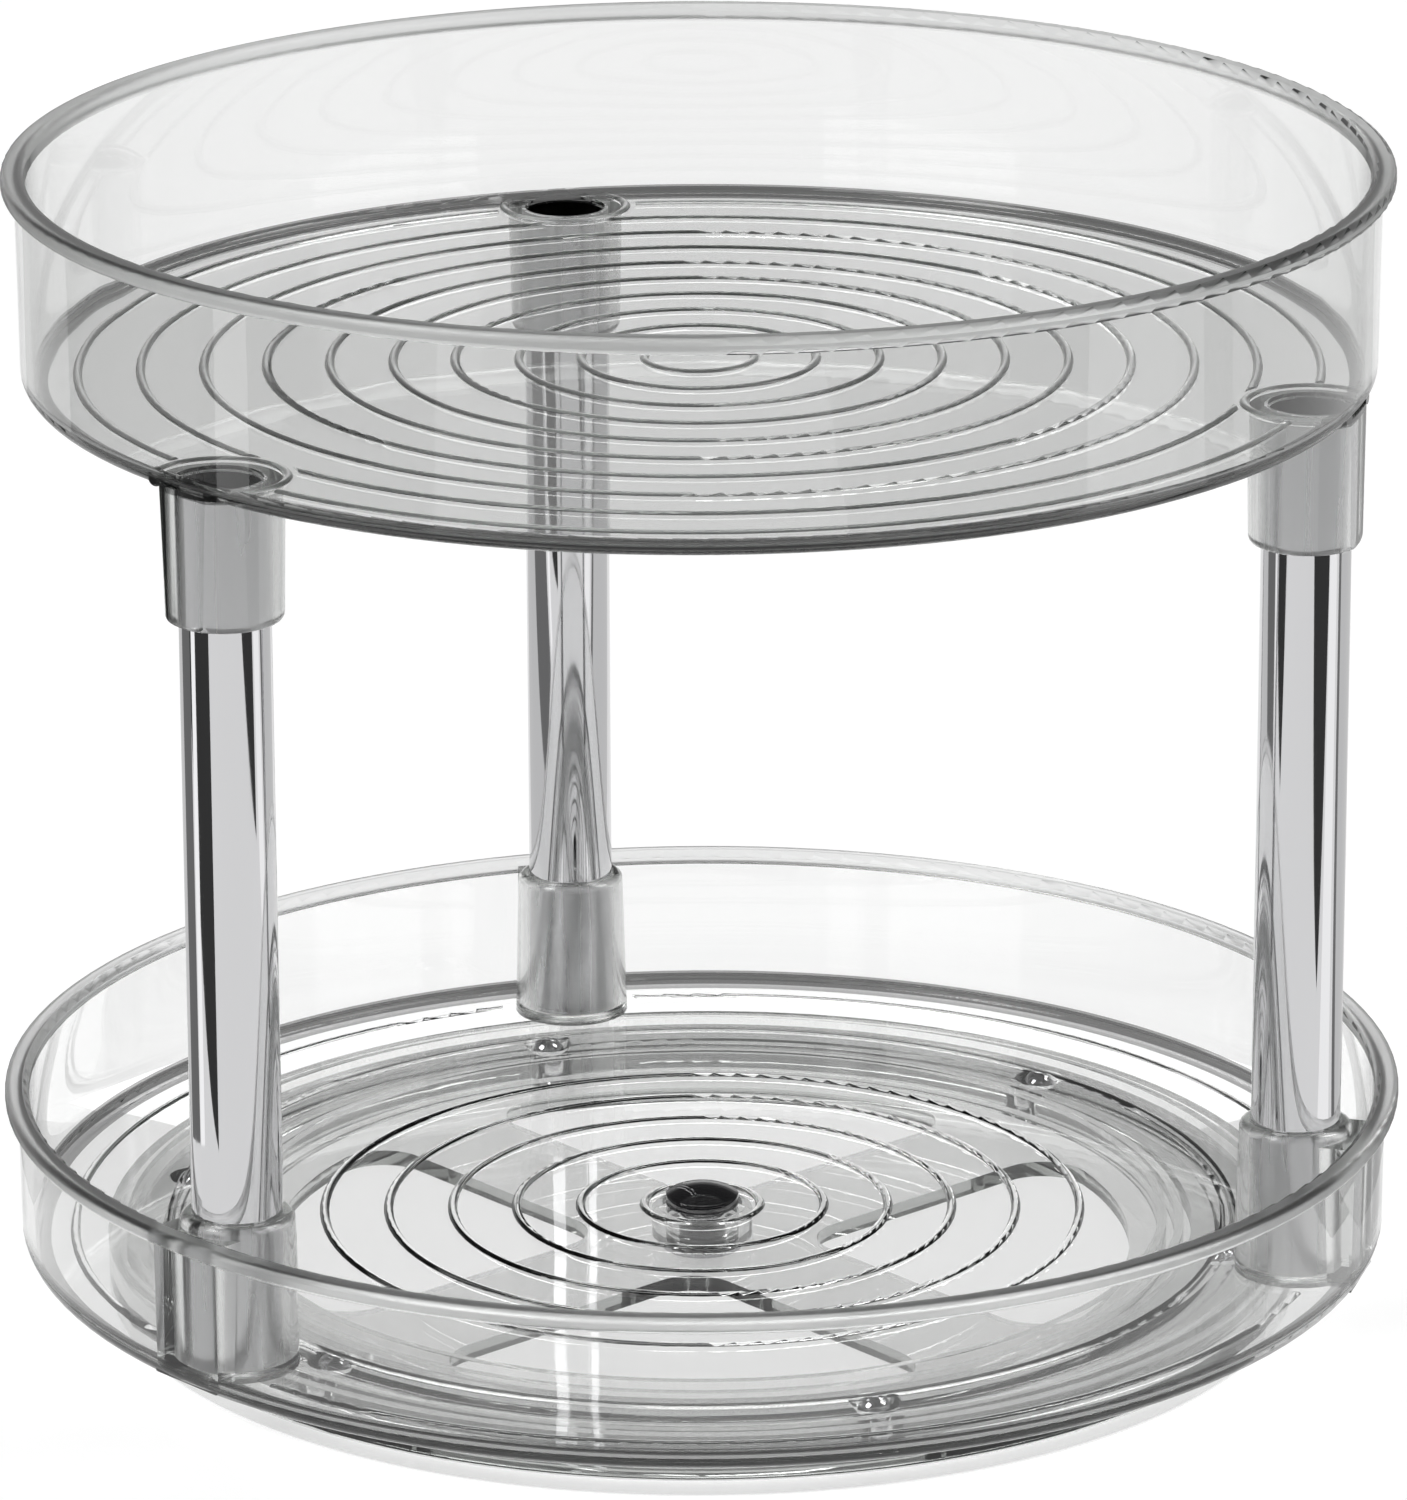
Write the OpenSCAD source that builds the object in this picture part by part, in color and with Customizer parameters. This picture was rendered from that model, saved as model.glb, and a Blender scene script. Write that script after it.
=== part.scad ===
// Two-tier lazy susan turntable: a clear base with an open ball race, a clear lower tray
// that turns on it, three tube posts in moulded sockets, and a clear upper tray whose
// sleeves drop over the posts.
// Millimetres, +Z up, origin at the centre of the base on the table.

/* [Trays] */
// Radius of the lower tray over its rim bead
lower_rim_r = 118; // [95:0.5:150]
// How much smaller the upper tray's radius is
rim_step = 3.5; // [1:0.1:4]
// Height of the lower tray from the underside of its floor to the rim
lower_tray_h = 27.1; // [20:0.1:60]
// Height of the upper tray from the underside of its floor to the rim
upper_tray_h = 35.7; // [20:0.1:80]
// Clear height between the lower floor and the underside of the upper tray
tier_gap = 148; // [90:1:260]
// Thickness of both tray floors
floor_t = 1.8; // [1.6:0.1:4]
// Thickness of both tray walls
wall_t = 1.9; // [1.4:0.1:3]
// Lean of the tray walls from the vertical, in degrees
wall_draft = 0.6; // [0:0.1:3]
// Width of the rim bead
bead_w = 4; // [3.4:0.1:7]
// Height of the rim bead
bead_h = 2.8; // [2.4:0.1:8]
// Radius of the rounded bead corners
bead_round = 1.1; // [0.4:0.1:1.1]
// Radius of the outer corner between floor and wall
outer_corner_r = 3; // [1:0.1:5]
// Radius of the inner corner between floor and wall
inner_corner_r = 1.5; // [0.5:0.1:5]

/* [Floor rings] */
// Width of a raised ring on a tray floor
ring_w = 1.6; // [0.6:0.1:2.4]
// Height of a raised ring above the floor
ring_h = 0.45; // [0.15:0.05:0.8]
// Radius of the first ring of the lower tray
lower_ring_r = 9.9; // [9:0.1:14]
// Radial spacing of the rings of the lower tray
lower_ring_pitch = 10.9; // [6:0.1:12]
// Distance of the outermost ring of the lower tray from the outside of its wall
edge_ring_inset = 9.2; // [6:0.1:10.5]
// Radius of the first ring of the upper tray
upper_ring_r = 9.1; // [4:0.05:14]
// Radial spacing of the rings of the upper tray
upper_ring_pitch = 10.4; // [6:0.05:10.6]
// Distance from a post's axis at which a floor ring stops
ring_stop_r = 12.5; // [11.5:0.5:20]

/* [Posts] */
// Outside radius of a post tube
post_r = 7.45; // [5:0.05:8.5]
// Wall thickness of a post tube
post_wall = 0.6; // [0.4:0.1:2]
// Distance of a post's axis from the outside of the upper tray's wall
post_inset = 9.1; // [9:0.1:16]
// Direction of the rear post, in degrees
post_turn = 103.2; // [0:0.1:119]
// Radial gap between a post and its socket or sleeve
post_gap = 0.15; // [0.05:0.05:0.4]
// Gap at each end of a post
post_end_gap = 0.2; // [0.1:0.05:0.5]
// Height of a socket above the lower floor
socket_h = 26.1; // [15:0.1:60]
// Wall thickness of a socket at its top edge
socket_wall = 1.8; // [1.2:0.1:3]
// Growth of a socket's radius from its top edge to the floor
socket_flare = 0.7; // [0.2:0.1:2]
// Height of the post seat above the lower floor
socket_seat = 1.3; // [0.5:0.1:6]
// Radius of the rounded top edge of a socket
socket_round = 1.3; // [0.4:0.1:1.5]
// Half width of the web that joins a socket to the tray wall
socket_web_w = 7.5; // [4:0.5:9]
// Length of a sleeve below the upper tray's floor
sleeve_h = 21.7; // [8:0.1:60]
// Wall thickness of a sleeve at its lower edge
sleeve_wall = 1.95; // [1.2:0.05:3]
// Growth of a sleeve's radius from its lower edge to the floor
sleeve_flare = 0.5; // [0.2:0.1:2]
// Radius of the rounded lower edge of a sleeve
sleeve_round = 1.2; // [0.4:0.1:1.5]
// How far the sleeves stay inside the upper tray's outline
sleeve_inset = 0.3; // [0.1:0.1:1]
// Width of the lip that stops a post at the upper floor
post_lip_w = 0.55; // [0.3:0.05:2]
// Thickness of the lip that stops a post
post_lip_t = 0.8; // [0.4:0.1:1.5]
// Gap between a sleeve's outside and the ring around it on the upper floor
sleeve_ring_gap = 0.7; // [0.3:0.1:1]

/* [Base] */
// How much smaller the base's rim is than the lower tray's wall
base_inset = 14.7; // [8:0.1:20]
// Thickness of the base's rim
base_rim_t = 1.9; // [1.2:0.1:2]
// Gap between the top of the base's rim and the tray above it
rim_top_gap = 0.5; // [0.3:0.1:2]
// How much smaller the foot of the base is than its top edge
base_foot_inset = 0.2; // [0.1:0.1:1]
// Height of the base plate's underside above the table
base_plate_z = 2.3; // [2.1:0.1:5]
// Thickness of the base plate
base_plate_t = 2.7; // [2:0.1:4]
// Turn of the base about the vertical, in degrees
base_turn = -3.3; // [-45:0.1:45]
// Width of a spoke of the base
spoke_w = 23; // [12:0.5:50]
// Width of the plate between the openings and the inner race wall
race_land = 7.6; // [4:0.1:20]
// Radius of the rounded corners of the openings
opening_round = 8; // [2:0.5:12]

/* [Ball race] */
// Diameter of a bearing ball
ball_d = 6; // [5:0.1:8]
// Gap between the base's rim and the race wall inside it
rim_gap = 1.2; // [0.6:0.1:3]
// Direction of the first ball, in degrees
ball_turn = 48; // [0:1:59]
// Number of balls
ball_count = 6;
// Depth of the ball groove in the base plate
base_groove_d = 0.9; // [0.3:0.1:1.2]
// Depth of the ball groove in the lower tray's floor
tray_groove_d = 0.3; // [0.2:0.1:0.8]
// How much larger the grooves' radius is than a ball's
groove_ease = 0.4; // [0.1:0.1:1]
// Gap between a ball and each groove
ball_gap = 0.1; // [0.05:0.05:0.3]
// Height of the ball cage
cage_h = 3.6; // [2.4:0.1:4]
// Width of the ball cage
cage_w = 12.4; // [10:0.1:12.4]
// Gap between the cage and the base plate
cage_gap = 0.3; // [0.2:0.1:0.8]
// Gap around a ball in its pocket
pocket_gap = 0.3; // [0.2:0.1:0.8]
// Growth of a pocket's radius towards its top
pocket_flare = 1; // [0:0.1:1.5]
// Gap between the cage and the race walls on either side of it
race_gap = 0.7; // [0.4:0.1:1.5]
// Thickness of the race walls
race_wall_t = 1.5; // [1:0.1:2]
// Gap between the tray's race walls and the base plate
race_wall_gap = 0.8; // [0.4:0.1:2]

/* [Pivot] */
// Radius of the rivet's shank
shank_r = 4; // [1.5:0.1:4.2]
// Radius of the rivet's head
rivet_head_r = 6.2; // [4.5:0.1:6.8]
// Thickness of the rivet's head at its edge
rivet_edge_t = 2; // [0.6:0.1:2.4]
// Rise of the dome on the rivet's head
rivet_dome = 1.6; // [0.3:0.1:2]
// Radius of the rounded lower edge of the head
rivet_round = 0.4; // [0.1:0.1:0.5]
// Gap around the head in its recess
recess_gap = 1.45; // [0.5:0.05:1.6]
// Depth of the recess for the head
recess_d = 0.3; // [0.2:0.1:0.8]
// Radius of the base's spigot, on which the lower tray is centred
spigot_r = 6.2; // [5:0.1:7]
// Wall thickness of the tray's boss around the spigot
boss_wall = 2.3; // [1.5:0.1:2.5]
// Radial gap of a piece that turns on another
turning_gap = 0.06; // [0.02:0.01:0.1]
// Radial gap of the shank in the base and of the clip on the shank
shank_gap = 0.05; // [0.02:0.01:0.1]
// Vertical gap on each side of the clip in its groove
clip_slack = 0.05; // [0.02:0.01:0.1]
// Vertical play between pieces that turn on each other
play = 0.3; // [0.2:0.05:0.6]
// Thickness of the retaining clip
clip_t = 0.7; // [0.4:0.1:1]
// Width of the retaining clip beyond the shank
clip_w = 2.8; // [1.5:0.1:4]
// Depth of the clip's groove in the shank
clip_groove_d = 0.5; // [0.2:0.1:0.8]
// Length of the shank below the clip
shank_end = 0.6; // [0.3:0.1:1]

/* [Hidden] */
$fn = 96;

upper_rim_r = lower_rim_r - rim_step;
post_circle_r = wall_r(upper_rim_r) - post_inset;
base_r = wall_r(lower_rim_r) - base_inset;
rim_in_r = base_r - base_rim_t;

ball_r = ball_d / 2;
groove_r = ball_r + groove_ease;
plate_top = base_plate_z + base_plate_t;
ball_z = plate_top - base_groove_d + ball_gap + ball_r;
lower_z = ball_z + ball_r + ball_gap - tray_groove_d;
base_rim_h = lower_z - rim_top_gap;
lower_floor_z = lower_z + floor_t;
lower_rim_z = lower_z + lower_tray_h;
upper_z = lower_floor_z + tier_gap;
upper_floor_z = upper_z + floor_t;

bore_r = post_r + post_gap;
socket_top_r = bore_r + socket_wall;
seat_z = lower_floor_z + socket_seat;
socket_top_z = lower_floor_z + socket_h;
sleeve_low_r = bore_r + sleeve_wall;
sleeve_low_z = upper_z - sleeve_h;
bore_top_z = upper_floor_z - post_lip_t;
post_low_z = seat_z + post_end_gap;
post_top_z = bore_top_z - post_end_gap;
post_angles = [post_turn, post_turn + 120, post_turn + 240];

ring_arc_r = (ring_w * ring_w / 4 + ring_h * ring_h) / (2 * ring_h);
upper_flat_r = upper_rim_r - bead_w - upper_tray_h * tan(wall_draft) - inner_corner_r;

outer_rib_r = rim_in_r - rim_gap - race_wall_t;
cage_out_r = outer_rib_r - race_gap;
cage_in_r = cage_out_r - cage_w;
race_r = (cage_in_r + cage_out_r) / 2;
cage_z = plate_top + cage_gap;
lip_out_r = cage_in_r - 2 * race_gap;
lip_in_r = lip_out_r - race_wall_t;
inner_rib_r = lip_in_r - 2 * race_gap;
opening_r = lip_in_r - race_land;
rib_low_z = plate_top + race_wall_gap;
lip_top_z = lower_z - race_wall_gap;

recess_z = lower_floor_z - recess_d;
head_z = recess_z + play;
head_edge_z = head_z + rivet_edge_t;
dome_r = (rivet_head_r * rivet_head_r + rivet_dome * rivet_dome) / (2 * rivet_dome);
clip_z = base_plate_z - play - clip_t;
shank_low_z = clip_z - shank_end;
clip_groove_r = shank_r - clip_groove_d;
over = 1;

// Outer radius of a tray's wall just under its bead
function wall_r(rim_r) = rim_r - bead_w + wall_t;

// Centre of a rounded corner that touches a floor line and a leaning wall line
function corner_x(r_ref, z_ref, z_low, c) =
    r_ref - (z_ref - z_low - c) * tan(wall_draft) - c / cos(wall_draft);

// Everything inside a leaning wall that ends in a rounded lower corner
module cup_profile(r_ref, z_ref, z_low, z_high, c) {
    cx = corner_x(r_ref, z_ref, z_low, c);
    cz = z_low + c;
    polygon([
        [0, z_low],
        [cx, z_low],
        [cx + c * cos(wall_draft), cz - c * sin(wall_draft)],
        [r_ref, z_ref],
        [r_ref, z_high],
        [0, z_high]
    ]);
    translate([cx, cz]) circle(r = c);
}

// Bead with three rounded corners; the fourth runs into the wall
module bead_profile(rim_r, z_top) {
    in_r = rim_r - bead_w;
    low = z_top - bead_h;
    translate([in_r, low]) square([bead_w - bead_round, bead_h - bead_round]);
    translate([in_r + bead_round, low]) square([bead_w - 2 * bead_round, bead_h]);
    translate([in_r + bead_round, low + bead_round])
        square([bead_w - bead_round, bead_h - 2 * bead_round]);
    translate([rim_r - bead_round, low + bead_round]) circle(r = bead_round);
    translate([rim_r - bead_round, z_top - bead_round]) circle(r = bead_round);
    translate([in_r + bead_round, z_top - bead_round]) circle(r = bead_round);
}

// Half section of a tray: floor, leaning wall and bead
module tray_profile(rim_r, h, z) {
    difference() {
        cup_profile(wall_r(rim_r), z + h - bead_h, z, z + h - bead_round, outer_corner_r);
        cup_profile(rim_r - bead_w, z + h - bead_h, z + floor_t, z + h, inner_corner_r);
    }
    bead_profile(rim_r, z + h);
}

module at_posts() {
    for (a = post_angles) rotate([0, 0, a]) translate([post_circle_r, 0, 0]) children();
}

// Section of a raised floor ring, a shallow arc that stands on the floor
module ring_profile(r, floor_z) {
    translate([r, floor_z + ring_h - ring_arc_r]) circle(r = ring_arc_r);
}

// Raised floor rings, which stop short of the posts
module floor_rings(radii, floor_z) {
    difference() {
        rotate_extrude() for (r = radii) ring_profile(r, floor_z);
        at_posts() cylinder(r = ring_stop_r, h = floor_z + over);
    }
}

// A cone of revolution around the post's axis with one rounded outer edge
module rounded_cone(low_r, low_z, top_r, top_z) {
    rotate_extrude() polygon([[0, low_z], [low_r, low_z], [top_r, top_z], [0, top_z]]);
}

module socket_body() {
    rounded_cone(
        socket_top_r + socket_flare, lower_floor_z - floor_t / 2,
        socket_top_r, socket_top_z - socket_round
    );
    rotate_extrude() {
        translate([0, lower_floor_z - floor_t / 2])
            square([socket_top_r - socket_round, socket_h + floor_t / 2]);
        translate([socket_top_r - socket_round, socket_top_z - socket_round])
            circle(r = socket_round);
    }
}

// Web between a socket and the tray wall, from the floor to the bead
module socket_web() {
    reach = wall_r(lower_rim_r) - wall_t / 2 - post_circle_r;
    translate([0, -socket_web_w, lower_floor_z - floor_t / 2])
        cube([reach, 2 * socket_web_w, lower_tray_h - bead_round - floor_t / 2]);
}

module sleeve_body() {
    rounded_cone(
        sleeve_low_r, sleeve_low_z + sleeve_round,
        sleeve_low_r + sleeve_flare, upper_z + floor_t / 2
    );
    rotate_extrude() {
        translate([0, sleeve_low_z]) square([sleeve_low_r - sleeve_round, sleeve_h]);
        translate([sleeve_low_r - sleeve_round, sleeve_low_z + sleeve_round])
            circle(r = sleeve_round);
    }
}

// One opening between two spokes, about +X: straight sides, an outer arc, rounded corners
module opening_profile() {
    w = spoke_w / 2 + opening_round;
    in_x = w * sqrt(2);
    out_r = opening_r - opening_round;
    a = 45 - asin(w / out_r);
    side = opening_round / sqrt(2);
    ox = out_r * cos(a);
    oy = out_r * sin(a);
    far = (opening_r / cos(a) + over) / out_r;
    polygon([
        [in_x - side, side],
        [ox - side, oy + side],
        [ox, oy],
        [ox, -oy],
        [ox - side, -oy - side],
        [in_x - side, -side]
    ]);
    intersection() {
        circle(r = opening_r);
        polygon([[ox, -oy], [ox * far, -oy * far], [ox * far, oy * far], [ox, oy]]);
    }
    translate([in_x, 0]) circle(r = opening_round);
    translate([ox, oy]) circle(r = opening_round);
    translate([ox, -oy]) circle(r = opening_round);
}

module base() {
    color("gainsboro") difference() {
        rotate_extrude() difference() {
            union() {
                translate([0, base_plate_z]) square([rim_in_r + base_rim_t / 2, base_plate_t]);
                polygon([
                    [rim_in_r, 0],
                    [base_r - base_foot_inset, 0],
                    [base_r, base_rim_h],
                    [rim_in_r, base_rim_h]
                ]);
                translate([lip_in_r, base_plate_z])
                    square([race_wall_t, lip_top_z - base_plate_z]);
                translate([0, base_plate_z])
                    square([spigot_r, lower_z - play - base_plate_z]);
            }
            translate([race_r, plate_top - base_groove_d + groove_r]) circle(r = groove_r);
            square([shank_r + shank_gap, lower_z]);
        }
        for (a = [0:90:270]) rotate([0, 0, base_turn + a])
            linear_extrude(height = plate_top + over) opening_profile();
    }
}

module pivot_rivet() {
    color("black") rotate_extrude() {
        difference() {
            translate([0, shank_low_z]) square([shank_r, head_z + over / 2 - shank_low_z]);
            translate([clip_groove_r, clip_z - clip_slack])
                square([shank_r, clip_t + 2 * clip_slack]);
        }
        translate([0, head_z]) square([rivet_head_r - rivet_round, rivet_edge_t]);
        translate([0, head_z + rivet_round])
            square([rivet_head_r, rivet_edge_t - rivet_round]);
        translate([rivet_head_r - rivet_round, head_z + rivet_round])
            circle(r = rivet_round);
        intersection() {
            translate([0, head_edge_z + rivet_dome - dome_r]) circle(r = dome_r);
            translate([0, head_edge_z - over / 4])
                square([rivet_head_r, rivet_dome + over / 2]);
        }
    }
}

module retaining_clip() {
    color("silver") rotate_extrude()
        translate([clip_groove_r + shank_gap, clip_z])
            square([shank_r + clip_w - clip_groove_r - shank_gap, clip_t]);
}

module ball_cage() {
    pocket_r = ball_r + pocket_gap;
    color("white") difference() {
        rotate_extrude() translate([cage_in_r, cage_z]) square([cage_w, cage_h]);
        for (k = [0:ball_count - 1])
            rotate([0, 0, ball_turn + k * 360 / ball_count])
                translate([race_r, 0, cage_z]) union() {
                    translate([0, 0, -over]) cylinder(r = pocket_r, h = cage_h);
                    cylinder(r1 = pocket_r, r2 = pocket_r + pocket_flare, h = cage_h);
                    translate([0, 0, cage_h])
                        cylinder(r = pocket_r + pocket_flare, h = over);
                }
    }
}

module bearing_ball(k) {
    color("silver") rotate([0, 0, ball_turn + k * 360 / ball_count])
        translate([race_r, 0, ball_z]) sphere(r = ball_r);
}

module lower_tray() {
    boss_in_r = spigot_r + turning_gap;
    color("whitesmoke") difference() {
        union() {
            rotate_extrude() difference() {
                union() {
                    tray_profile(lower_rim_r, lower_tray_h, lower_z);
                    translate([inner_rib_r - race_wall_t, rib_low_z])
                        square([race_wall_t, lower_floor_z - floor_t / 2 - rib_low_z]);
                    translate([outer_rib_r, rib_low_z])
                        square([race_wall_t, lower_floor_z - floor_t / 2 - rib_low_z]);
                    translate([boss_in_r, plate_top + play])
                        square([boss_wall, lower_floor_z - floor_t / 2 - plate_top - play]);
                }
                translate([race_r, lower_z + tray_groove_d - groove_r])
                    circle(r = groove_r);
                translate([0, recess_z]) square([rivet_head_r + recess_gap, floor_t]);
                translate([0, lower_z - over])
                    square([shank_r + turning_gap, floor_t + 2 * over]);
            }
            floor_rings([for (r = [lower_ring_r:lower_ring_pitch:opening_r]) r], lower_floor_z);
            floor_rings([wall_r(lower_rim_r) - edge_ring_inset], lower_floor_z);
            at_posts() socket_body();
            at_posts() socket_web();
        }
        at_posts() translate([0, 0, seat_z]) cylinder(r = bore_r, h = lower_tray_h + socket_h);
    }
}

module post(a) {
    color("lightsteelblue") rotate([0, 0, a]) translate([post_circle_r, 0, post_low_z])
        difference() {
            cylinder(r = post_r, h = post_top_z - post_low_z);
            translate([0, 0, -over])
                cylinder(r = post_r - post_wall, h = post_top_z - post_low_z + 2 * over);
        }
}

module upper_tray() {
    foot_z = upper_z + outer_corner_r;
    outline_r = wall_r(upper_rim_r)
        - (upper_z + upper_tray_h - bead_h - foot_z) * tan(wall_draft);
    color("whitesmoke") difference() {
        union() {
            rotate_extrude() tray_profile(upper_rim_r, upper_tray_h, upper_z);
            floor_rings(
                [for (r = [upper_ring_r:upper_ring_pitch:upper_flat_r]) r], upper_floor_z
            );
            intersection() {
                union() {
                    at_posts() sleeve_body();
                    at_posts() rotate_extrude() ring_profile(
                        sleeve_low_r + sleeve_flare + sleeve_ring_gap, upper_floor_z
                    );
                }
                cylinder(r = outline_r - sleeve_inset, h = upper_floor_z + ring_h + over);
            }
        }
        at_posts() translate([0, 0, sleeve_low_z - over])
            cylinder(r = bore_r, h = bore_top_z - sleeve_low_z + over);
        at_posts() translate([0, 0, bore_top_z - over])
            cylinder(r = bore_r - post_lip_w, h = post_lip_t + ring_h + 2 * over);
    }
}

base();
pivot_rivet();
retaining_clip();
ball_cage();
bearing_ball(0);  // bearing_ball_1
bearing_ball(1);  // bearing_ball_2
bearing_ball(2);  // bearing_ball_3
bearing_ball(3);  // bearing_ball_4
bearing_ball(4);  // bearing_ball_5
bearing_ball(5);  // bearing_ball_6
lower_tray();
post(post_angles[0]);  // rear_post
post(post_angles[1]);  // left_post
post(post_angles[2]);  // right_post
upper_tray();
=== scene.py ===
import math

import bpy
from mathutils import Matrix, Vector


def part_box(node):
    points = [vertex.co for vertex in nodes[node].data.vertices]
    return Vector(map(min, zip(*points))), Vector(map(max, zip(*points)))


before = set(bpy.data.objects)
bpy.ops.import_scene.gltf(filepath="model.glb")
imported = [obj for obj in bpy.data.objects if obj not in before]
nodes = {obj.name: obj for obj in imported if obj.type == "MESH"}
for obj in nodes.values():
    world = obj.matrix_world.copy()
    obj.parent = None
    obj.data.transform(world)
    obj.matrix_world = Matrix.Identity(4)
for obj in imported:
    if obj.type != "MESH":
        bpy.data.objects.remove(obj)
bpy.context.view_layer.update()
scene = bpy.context.scene
scene.view_settings.view_transform = "Standard"

# Light passes up to ten clear walls before it reaches the floor behind the object
scene.cycles.max_bounces = 32
scene.cycles.transmission_bounces = 32
scene.cycles.glossy_bounces = 8
scene.cycles.transparent_max_bounces = 32


# ---------------------------------------------------------------- camera
# Lens in millimetres, place in metres, and how far it looks down and leans in degrees
LENS = 211.47
CAMERA_PLACE = (0.0005, -1.40769, 0.54608)
PITCH = 17.836
LEAN = -0.2


def make_camera():
    data = bpy.data.cameras.new("camera")
    data.sensor_fit = "AUTO"
    data.sensor_width = 36.0
    data.lens = LENS
    cam = bpy.data.objects.new("camera", data)
    scene.collection.objects.link(cam)
    cam.location = CAMERA_PLACE
    cam.rotation_mode = "ZXY"
    cam.rotation_euler = (math.pi / 2 - math.radians(PITCH), 0.0, math.radians(LEAN))
    scene.camera = cam


make_camera()


# ---------------------------------------------------------------- shader helpers
def new_material(name):
    mat = bpy.data.materials.new(name)
    mat.use_nodes = True
    tree = mat.node_tree
    tree.nodes.clear()
    return mat, tree


def math_node(tree, operation, *values):
    """Math node whose inputs are numbers or sockets; its output is returned."""
    node = tree.nodes.new("ShaderNodeMath")
    node.operation = operation
    for k, value in enumerate(values):
        if isinstance(value, (int, float)):
            node.inputs[k].default_value = value
        else:
            tree.links.new(value, node.inputs[k])
    return node.outputs[0]


def square_sum(tree, a, b):
    return math_node(
        tree, "ADD", math_node(tree, "MULTIPLY", a, a), math_node(tree, "MULTIPLY", b, b)
    )


def object_coords(tree):
    coord = tree.nodes.new("ShaderNodeTexCoord")
    return coord.outputs["Object"]


def split_xyz(tree, vector):
    split = tree.nodes.new("ShaderNodeSeparateXYZ")
    tree.links.new(vector, split.inputs[0])
    return split.outputs


def stretched_noise(tree, coords, grain, detail):
    """Noise whose grain has its own size along each axis, in cycles per metre."""
    mapping = tree.nodes.new("ShaderNodeMapping")
    mapping.inputs["Scale"].default_value = grain
    tree.links.new(coords, mapping.inputs["Vector"])
    noise = tree.nodes.new("ShaderNodeTexNoise")
    noise.inputs["Scale"].default_value = 1.0
    noise.inputs["Detail"].default_value = detail
    noise.inputs["Roughness"].default_value = 0.5
    tree.links.new(mapping.outputs[0], noise.inputs["Vector"])
    return noise.outputs["Fac"]


def remap(tree, value, source, target):
    """Value carried from one range to another; each range is (low, high)."""
    node = tree.nodes.new("ShaderNodeMapRange")
    for name, limit in zip(("From Min", "From Max", "To Min", "To Max"), source + target):
        node.inputs[name].default_value = limit
    tree.links.new(value, node.inputs["Value"])
    return node.outputs["Result"]


def bump(tree, height, depth, normal=None):
    """Normal bent by a height map; depth is in metres."""
    node = tree.nodes.new("ShaderNodeBump")
    node.inputs["Strength"].default_value = 1.0
    node.inputs["Distance"].default_value = depth
    tree.links.new(height, node.inputs["Height"])
    if normal is not None:
        tree.links.new(normal, node.inputs["Normal"])
    return node.outputs[0]


def grey_ramp(tree, value, stops):
    """Color ramp through grey levels; stops are (place, level)."""
    node = tree.nodes.new("ShaderNodeValToRGB")
    tree.links.new(value, node.inputs[0])
    elements = node.color_ramp.elements
    while len(elements) < len(stops):
        elements.new(1.0)
    for element, (place, level) in zip(elements, stops):
        element.position = place
        element.color = (level, level, level, 1.0)
    return node.outputs[0]


# ---------------------------------------------------------------- clear plastic
# Sizes of the mouldings' features, in metres
BORE_R = 0.00775
BEAD_H = 0.0029
BEAD_W = 0.0041
CORNER_R = 0.003
FLOOR_T = 0.0018
RING_H = 0.00045
UPPER_TRAY_H = 0.0357
LOWER_TRAY_H = 0.0271
# Gap between a mask's limit and the face next to it
EASE = 0.0001
BORE_EASE = 0.0003

# How much darker each feature's colour is made: the bead has a grey tint that grows to painted shade
# toward its outline; the bottom corner and the bores get painted shade
# Outlines: painted shade on top of the longer path through the tinted plastic
EDGE_SMOKE_AND_SHADE = 0.7
# Painted shade in the tray's bottom outer corner
BEAD_TINT_AND_SHADE = (0.12, 1.0)
CORNER_PAINTED_SHADE = 0.85
# Painted shade on the walls of the bores around the posts
BORE_PAINTED_SHADE = 0.24
# How edge-on a face is seen where its darkening starts to grow; 1 is the outline itself
EDGE_START = 0.8
BEAD_START = 0.5

# Roughness of the clear surface and of the features
HAZE = (0.0, 0.035)
BEAD_SATIN = 0.35
RING_SATIN = 0.3
BORE_FROST = (0.18, 0.4)
# Noise levels between which the haze and the frost grow from least to most
HAZE_SPAN = (0.45, 0.75)
FROST_SPAN = (0.35, 0.7)

# Cycles per metre along x, y and z, and depth in metres of the waves and streaks
HAZE_GRAIN = (90.0, 90.0, 90.0)
WAVE_GRAIN = (45.0, 45.0, 30.0)
WAVE_DEPTH = 0.00004
STREAK_GRAIN = (200.0, 200.0, 12.0)
STREAK_DEPTH = 0.0003

SMOKE_TINT = (0.83, 0.835, 0.83, 1.0)
SHADOW_TINT = (0.97, 0.97, 0.97, 1.0)


def post_axes():
    axes = []
    for node in ("rear_post", "left_post", "right_post"):
        low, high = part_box(node)
        axes.append(((low[0] + high[0]) / 2, (low[1] + high[1]) / 2))
    return axes


def bore_mask(tree, coords):
    """1 on the walls of the bores that hold the posts, 0 elsewhere."""
    post_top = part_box("rear_post")[1][2] + BORE_EASE
    x, y, z = split_xyz(tree, coords)
    nearest = None
    for axis_x, axis_y in post_axes():
        dx = math_node(tree, "SUBTRACT", x, axis_x)
        dy = math_node(tree, "SUBTRACT", y, axis_y)
        square = square_sum(tree, dx, dy)
        nearest = square if nearest is None else math_node(tree, "MINIMUM", nearest, square)
    near = math_node(tree, "LESS_THAN", nearest, BORE_R * BORE_R)
    return math_node(tree, "MULTIPLY", near, math_node(tree, "LESS_THAN", z, post_top))


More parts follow.
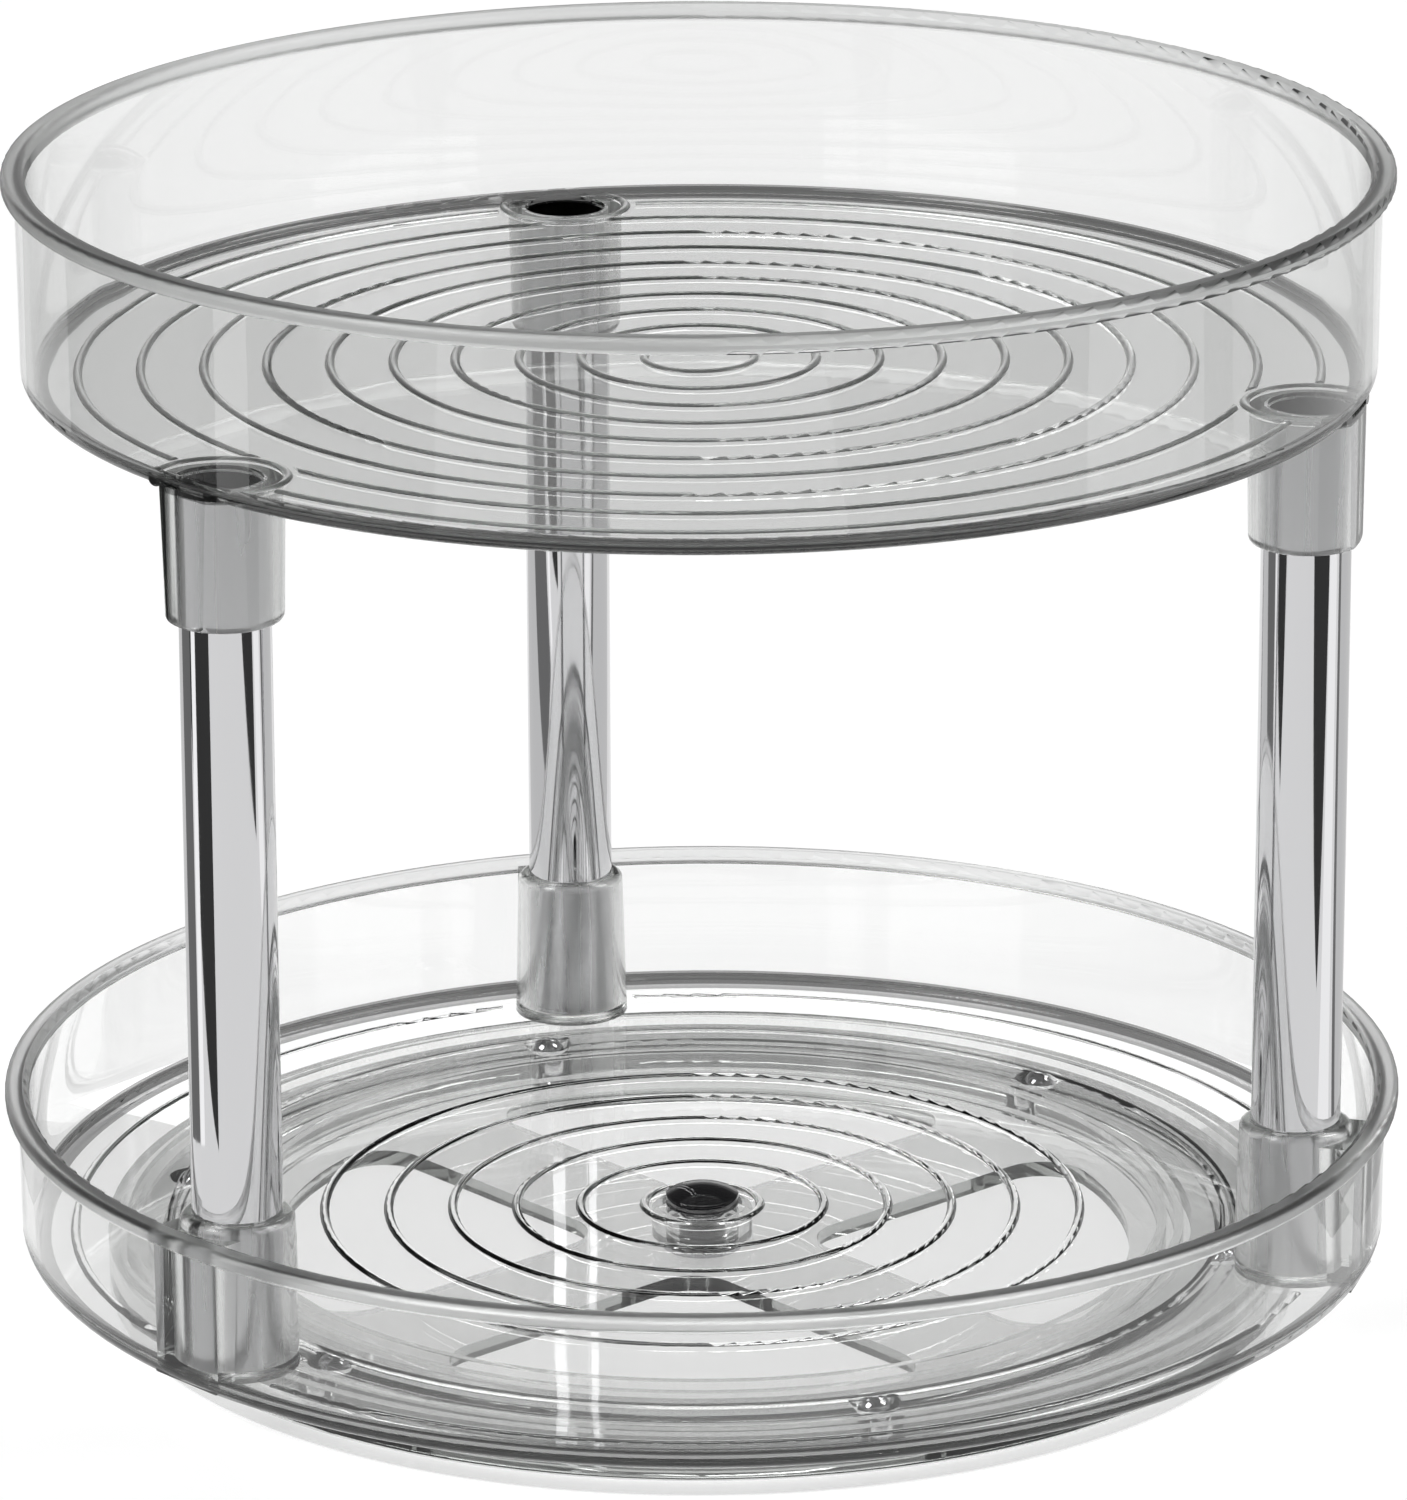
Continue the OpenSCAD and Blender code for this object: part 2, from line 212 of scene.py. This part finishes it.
def ring_mask(tree, coords, least_r, low_z, high_z):
    """1 outside the radius least_r and between two heights, 0 elsewhere."""
    x, y, z = split_xyz(tree, coords)
    outside = math_node(tree, "GREATER_THAN", square_sum(tree, x, y), least_r * least_r)
    above = math_node(tree, "GREATER_THAN", z, low_z)
    below = math_node(tree, "LESS_THAN", z, high_z)
    return math_node(tree, "MULTIPLY", outside, math_node(tree, "MULTIPLY", above, below))


def tray_masks(tree, coords, tray, tray_h):
    """Masks of a tray's rim bead, bottom corner, raised rings and post bores."""
    low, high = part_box(tray)
    wall_r = (high[0] - low[0]) / 2 - BEAD_W
    floor_z = high[2] - tray_h
    floor_top = floor_z + FLOOR_T
    bead = ring_mask(tree, coords, wall_r, high[2] - BEAD_H, high[2] + EASE)
    corner = ring_mask(tree, coords, wall_r - CORNER_R, floor_z - EASE, floor_z + CORNER_R)
    rings = ring_mask(tree, coords, 0.0, floor_top + EASE, floor_top + RING_H + EASE)
    return bead, corner, rings, bore_mask(tree, coords)


def grey_color(tree, darker):
    """White less the given amount, never below black."""
    level = math_node(tree, "MAXIMUM", math_node(tree, "SUBTRACT", 1.0, darker), 0.0)
    grey = tree.nodes.new("ShaderNodeCombineColor")
    for channel in grey.inputs:
        tree.links.new(level, channel)
    return grey.outputs[0]


def let_lamps_through(tree, shader):
    """Straight light from the lamps passes, so the plastic casts next to no shadow."""
    clear = tree.nodes.new("ShaderNodeBsdfTransparent")
    clear.inputs["Color"].default_value = SHADOW_TINT
    path = tree.nodes.new("ShaderNodeLightPath")
    mix = tree.nodes.new("ShaderNodeMixShader")
    tree.links.new(path.outputs["Is Shadow Ray"], mix.inputs[0])
    tree.links.new(shader, mix.inputs[1])
    tree.links.new(clear.outputs[0], mix.inputs[2])
    return mix.outputs[0]


def clear_plastic(name, density, tray=None, tray_h=0.0):
    """Moulded clear plastic; a tray's bead, corner, rings and bores have looks of their own, with
    painted shade on the bead's outline, the corner and the bores.
    """
    mat, tree = new_material(name)
    out = tree.nodes.new("ShaderNodeOutputMaterial")
    bsdf = tree.nodes.new("ShaderNodeBsdfPrincipled")
    bsdf.inputs["Transmission Weight"].default_value = 1.0
    bsdf.inputs["IOR"].default_value = 1.5
    coords = object_coords(tree)
    haze = stretched_noise(tree, coords, HAZE_GRAIN, detail=4.0)
    rough = remap(tree, haze, HAZE_SPAN, HAZE)
    waves = stretched_noise(tree, coords, WAVE_GRAIN, detail=1.0)
    normal = bump(tree, waves, WAVE_DEPTH)
    # A grazing look passes through more plastic, so it is smokier there; the rest of the dark
    # outline is painted shade
    weight = tree.nodes.new("ShaderNodeLayerWeight")
    weight.inputs["Blend"].default_value = 0.5
    facing = weight.outputs["Facing"]
    darker = remap(tree, facing, (EDGE_START, 1.0), (0.0, EDGE_SMOKE_AND_SHADE))
    if tray is not None:
        bead, corner, rings, bores = tray_masks(tree, coords, tray, tray_h)
        streaks = stretched_noise(tree, coords, STREAK_GRAIN, detail=2.0)
        frost = remap(tree, streaks, FROST_SPAN, BORE_FROST)
        for mask, satin in ((rings, RING_SATIN), (bead, BEAD_SATIN), (bores, frost)):
            rough = math_node(tree, "MAXIMUM", rough, math_node(tree, "MULTIPLY", mask, satin))
        # Painted shade: the bead's grey tint grows toward its outline, and the bottom corner and the
        # bores are coloured darker
        bead_tint_and_shade = remap(tree, facing, (BEAD_START, 1.0), BEAD_TINT_AND_SHADE)
        for mask, shade_and_tint in ((bead, bead_tint_and_shade), (corner, CORNER_PAINTED_SHADE), (bores, BORE_PAINTED_SHADE)):
            darker = math_node(tree, "ADD", darker, math_node(tree, "MULTIPLY", mask, shade_and_tint))
        grooves = math_node(tree, "MULTIPLY", streaks, bores)
        normal = bump(tree, grooves, STREAK_DEPTH, normal)
    tree.links.new(grey_color(tree, darker), bsdf.inputs["Base Color"])
    tree.links.new(rough, bsdf.inputs["Roughness"])
    tree.links.new(normal, bsdf.inputs["Normal"])
    tree.links.new(let_lamps_through(tree, bsdf.outputs[0]), out.inputs["Surface"])
    volume = tree.nodes.new("ShaderNodeVolumeAbsorption")
    volume.inputs["Color"].default_value = SMOKE_TINT
    volume.inputs["Density"].default_value = density
    tree.links.new(volume.outputs[0], out.inputs["Volume"])
    return mat


upper_plastic = clear_plastic("smoke_plastic", density=350.0, tray="upper_tray", tray_h=UPPER_TRAY_H)
lower_plastic = clear_plastic("clear_plastic", density=165.0, tray="lower_tray", tray_h=LOWER_TRAY_H)
base_plastic = clear_plastic("base_plastic", density=165.0)


# ---------------------------------------------------------------- opaque materials
# Noise levels between which the roughness grows from least to most
ROUGH_SPAN = (0.4, 0.7)


def solid(name, color, metallic, rough, grain, depth, ior=1.5):
    """Opaque finish: rough is (least, most), grain in cycles per metre, depth in metres."""
    mat, tree = new_material(name)
    out = tree.nodes.new("ShaderNodeOutputMaterial")
    bsdf = tree.nodes.new("ShaderNodeBsdfPrincipled")
    bsdf.inputs["Base Color"].default_value = color
    bsdf.inputs["Metallic"].default_value = metallic
    bsdf.inputs["IOR"].default_value = ior
    noise = stretched_noise(tree, object_coords(tree), grain, detail=4.0)
    tree.links.new(remap(tree, noise, ROUGH_SPAN, rough), bsdf.inputs["Roughness"])
    tree.links.new(bump(tree, noise, depth), bsdf.inputs["Normal"])
    tree.links.new(bsdf.outputs[0], out.inputs["Surface"])
    return mat


chrome = solid(
    "chrome_tube", color=(0.62, 0.62, 0.63, 1.0), metallic=1.0,
    rough=(0.03, 0.08), grain=(700, 700, 25), depth=0.000002,
)
steel = solid(
    "bearing_steel", color=(0.6, 0.6, 0.61, 1.0), metallic=1.0,
    rough=(0.02, 0.07), grain=(500, 500, 500), depth=0.000001,
)
black = solid(
    "black_plastic", color=(0.008, 0.008, 0.009, 1.0), metallic=0.0,
    rough=(0.02, 0.07), grain=(600, 600, 600), depth=0.000001, ior=2.0,
)
spring = solid(
    "spring_steel", color=(0.5, 0.5, 0.51, 1.0), metallic=1.0,
    rough=(0.22, 0.4), grain=(900, 900, 60), depth=0.00001,
)

# The bearing's balls aren't in this list; they are steel
LOOKS = {
    "base": base_plastic, "ball_cage": base_plastic,
    "lower_tray": lower_plastic, "upper_tray": upper_plastic,
    "pivot_rivet": black, "retaining_clip": spring,
    "rear_post": chrome, "left_post": chrome, "right_post": chrome,
}
for node, obj in nodes.items():
    obj.data.materials.clear()
    obj.data.materials.append(LOOKS.get(node, steel))


# ---------------------------------------------------------------- floor
FLOOR_HALF = 8.0
# The floor's glow around the pivot, dimmed in a ring of painted shadow under the base's foot: the
# ramp's reach in metres, and (share of the reach, level)
GLOW_AND_SHADOW_REACH = 0.25
FLOOR_GLOW_AND_PAINTED_SHADOW = ((0.0, 0.88), (0.37, 0.88), (0.385, 0.62), (0.398, 0.58), (0.404, 0.88))


def staged_mesh(name, points, faces, mat):
    """Mesh of the set around the object, which is no piece of it."""
    mesh = bpy.data.meshes.new(name)
    mesh.from_pydata(points, [], faces)
    mesh.materials.append(mat)
    obj = bpy.data.objects.new(name, mesh)
    scene.collection.objects.link(obj)
    return obj


def make_floor():
    mat, tree = new_material("floor")
    out = tree.nodes.new("ShaderNodeOutputMaterial")
    bsdf = tree.nodes.new("ShaderNodeBsdfPrincipled")
    bsdf.inputs["Base Color"].default_value = (0.2, 0.2, 0.2, 1.0)
    bsdf.inputs["Roughness"].default_value = 1.0
    bsdf.inputs["Specular IOR Level"].default_value = 0.0
    bsdf.inputs["Emission Color"].default_value = (1.0, 1.0, 1.0, 1.0)
    length = tree.nodes.new("ShaderNodeVectorMath")
    length.operation = "LENGTH"
    tree.links.new(object_coords(tree), length.inputs[0])
    share = math_node(tree, "MULTIPLY", length.outputs["Value"], 1 / GLOW_AND_SHADOW_REACH)
    # Painted shadow: the even glow dims in a ring under the base's foot
    tree.links.new(grey_ramp(tree, share, FLOOR_GLOW_AND_PAINTED_SHADOW), bsdf.inputs["Emission Strength"])
    tree.links.new(bsdf.outputs[0], out.inputs["Surface"])
    s = FLOOR_HALF
    staged_mesh("floor", [(-s, -s, 0), (s, -s, 0), (s, s, 0), (-s, s, 0)], [(0, 1, 2, 3)], mat)


# ---------------------------------------------------------------- cards and softboxes
# Pieces that a card's arc is cut into
ARC_STEPS = 8

# Softboxes: elevations and directions in degrees, distance from the pivot in metres, level
BOX_ELEVATIONS = (5, 45)
BOX_DIRECTIONS = ((-60, -23), (41, 74))
BOX_REACH = 1.7
BOX_LEVEL = 2.4

CENTRE = (0.0, 0.0)
LEFT_AXIS = post_axes()[1]
# Cards give the tubes their dark and bright bands; glow_back brightens the trays' far side.
# name, apex, start and end direction, near and far reach, level, height over the floor
CARDS = (
    ("flag_left", (-0.165, -0.18), -109, -39.5, 0.0, 0.9, 0.05, 0.0006),
    ("flag_right", (0.225, -0.165), 2, 68, 0.0, 0.9, 0.05, 0.0006),
    ("shade_left", LEFT_AXIS, -132, -92, 0.14, 1.2, 0.2, 0.0009),
    ("slit_left", LEFT_AXIS, -87, -79, 0.14, 1.2, 1.4, 0.0012),
    ("bright_right", CENTRE, 62, 80, 0.2, 1.2, 1.3, 0.0004),
    ("dip_right", CENTRE, 86, 93, 0.15, 1.2, 0.22, 0.0006),
    ("grey_right", CENTRE, 93, 150, 0.14, 3.0, 0.75, 0.0003),
    ("grey_left", CENTRE, -150, -100, 0.14, 3.0, 0.75, 0.0003),
)
GLOW_BACK = ("glow_back", CENTRE, 125, 235, 0.103, 0.142, 1.5, 0.0008)


def emitter(name, strength):
    mat, tree = new_material(name)
    out = tree.nodes.new("ShaderNodeOutputMaterial")
    glow = tree.nodes.new("ShaderNodeEmission")
    glow.inputs["Color"].default_value = (1.0, 1.0, 1.0, 1.0)
    glow.inputs["Strength"].default_value = strength
    tree.links.new(glow.outputs[0], out.inputs["Surface"])
    return mat


def mirror_only(obj):
    """Only mirror-like surfaces see this card."""
    obj.visible_camera = False
    obj.visible_diffuse = False
    obj.visible_transmission = False
    obj.visible_shadow = False


def seen_through(obj):
    """Only light that came through the clear plastic reaches this card."""
    obj.visible_glossy = False
    obj.visible_transmission = True


def arc_angles(start, end):
    """Angles in radians from one direction to another; degrees count from the front."""
    return [math.radians(start + (end - start) * k / ARC_STEPS) for k in range(ARC_STEPS + 1)]


def wedge(name, apex, start, end, near, far, level, z):
    """Flat card over the floor, a slice of a ring about apex."""
    points = []
    for reach, first, last in ((near, start, end), (far, end, start)):
        for a in arc_angles(first, last):
            points.append((apex[0] + reach * math.sin(a), apex[1] - reach * math.cos(a), z))
    obj = staged_mesh(name, points, [tuple(range(len(points)))], emitter(name, level))
    mirror_only(obj)
    return obj


def softbox(name, start, end):
    """Curved bright screen around the object, between two directions."""
    points = []
    for a in arc_angles(start, end):
        for elevation in BOX_ELEVATIONS:
            z = BOX_REACH * math.tan(math.radians(elevation))
            points.append((BOX_REACH * math.sin(a), -BOX_REACH * math.cos(a), z))
    faces = [(2 * k, 2 * k + 1, 2 * k + 3, 2 * k + 2) for k in range(ARC_STEPS)]
    mirror_only(staged_mesh(name, points, faces, emitter(name, BOX_LEVEL)))


# ---------------------------------------------------------------- sky and lamps
# Upward part of the direction, and how bright the sky is there
SKY = ((0.12, 1.0), (0.22, 0.36), (0.32, 0.26), (0.40, 0.07), (1.0, 0.03))
LAMP_TARGET = (0.0, 0.0, 0.1)


def make_world():
    world = bpy.data.worlds.new("world")
    scene.world = world
    world.use_nodes = True
    tree = world.node_tree
    tree.nodes.clear()
    out = tree.nodes.new("ShaderNodeOutputWorld")
    back = tree.nodes.new("ShaderNodeBackground")
    coord = tree.nodes.new("ShaderNodeTexCoord")
    up = split_xyz(tree, coord.outputs["Generated"])["Z"]
    tree.links.new(grey_ramp(tree, up, SKY), back.inputs["Color"])
    tree.links.new(back.outputs[0], out.inputs["Surface"])


def lamp(name, place, size, power, glossy=True):
    """Soft rectangular lamp aimed at the object; power is in watts."""
    data = bpy.data.lights.new(name, "AREA")
    data.shape = "RECTANGLE"
    data.size, data.size_y = size
    data.energy = power
    obj = bpy.data.objects.new(name, data)
    scene.collection.objects.link(obj)
    obj.location = place
    obj.rotation_mode = "QUATERNION"
    obj.rotation_quaternion = (Vector(LAMP_TARGET) - Vector(place)).to_track_quat("-Z", "Y")
    obj.visible_camera = False
    obj.visible_glossy = glossy


make_floor()
make_world()
for card in CARDS:
    wedge(*card)
seen_through(wedge(*GLOW_BACK))
for start, end in BOX_DIRECTIONS:
    softbox("softbox_%d" % start, start, end)
lamp("soft_left", place=(-1.2, -0.6, 1.5), size=(0.7, 0.9), power=14)
lamp("soft_right", place=(1.3, 0.2, 1.5), size=(0.6, 0.9), power=10)
lamp("soft_back", place=(0.0, 1.6, 1.3), size=(1.2, 0.5), power=10, glossy=False)
